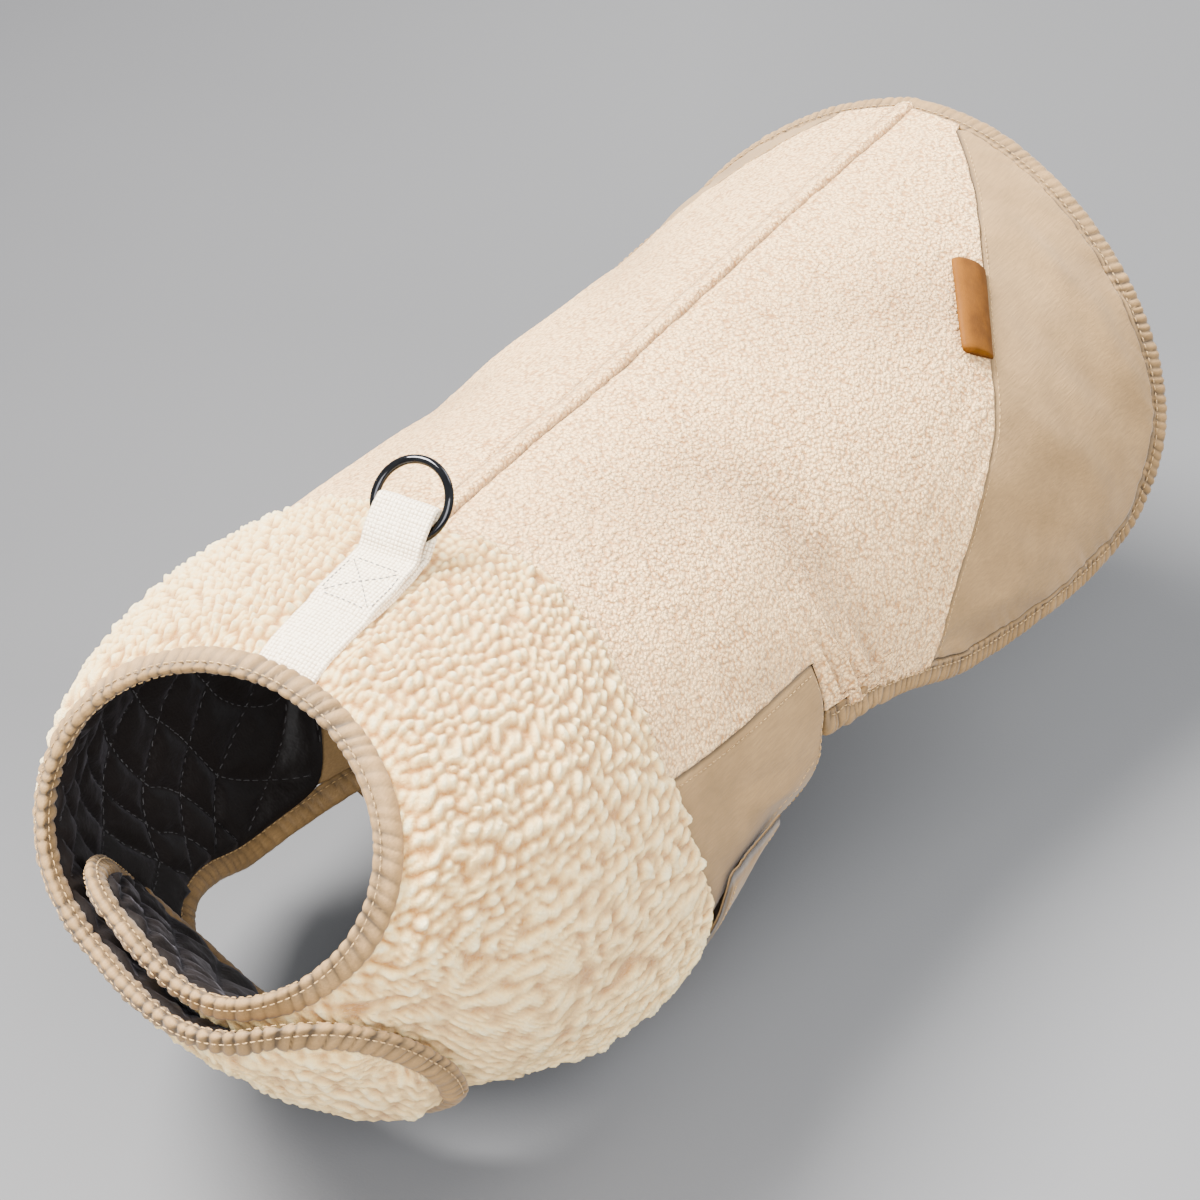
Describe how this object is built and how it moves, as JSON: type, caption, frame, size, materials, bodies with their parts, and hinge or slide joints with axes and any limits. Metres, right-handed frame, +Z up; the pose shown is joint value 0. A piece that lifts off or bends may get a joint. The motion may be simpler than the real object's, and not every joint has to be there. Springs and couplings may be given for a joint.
{
  "type": "dog winter coat",
  "caption": "Worn-shape fleece coat for a dog: curly yoke with overlapping chest flaps, belly straps, quilted lining, bound edges and a lead ring on the back.",
  "frame": {"origin": "on the lining's inner side at the top of the back, on the centre line above the middle of the belly strap, where the dog's back carries the coat", "axes": "+Z up, -Y towards the neck opening, +Y towards the tail hem, +X to the dog's left"},
  "size_m": [0.257, 0.5412, 0.24],
  "materials": {
    "fleece": "nubby wool-look fleece, pinkish cream",
    "sherpa": "curly sherpa pile, cream",
    "twill": "smooth khaki woven shell cloth",
    "binding": "gathered khaki-brown binding tape",
    "lining": "near-black satin, diamond quilted",
    "webbing": "off-white cotton webbing",
    "ring_metal": "gunmetal, polished",
    "leather": "smooth tan leather",
    "tape": "black hook-and-loop tape"
  },
  "bodies": {
    "coat": {"back_left": "fleece", "back_right": "fleece", "centre_welt": "fleece", "corner_left": "twill", "corner_right": "twill", "sherpa_left": "sherpa", "sherpa_right": "sherpa", "belly_strap_left": "twill", "belly_strap_right": "twill", "lining_left": "lining", "lining_right": "lining", "neck_binding": "binding", "leg_binding_left": "binding", "leg_binding_right": "binding", "tail_binding": "binding", "webbing": "webbing", "leather_tab": "leather", "chest_loop_tape": "tape", "chest_hook_tape": "tape", "belly_loop_tape": "tape", "belly_hook_tape": "tape"},
    "ring": {"lead_ring": "ring_metal"}
  },
  "joints": [
    {"name": "ring_turn", "type": "hinge", "parent": "coat", "child": "ring", "pos_m": [0.005, -0.0685, 0.0246], "axis": [0, -0.766, 0.6428], "continuous": true}
  ]
}
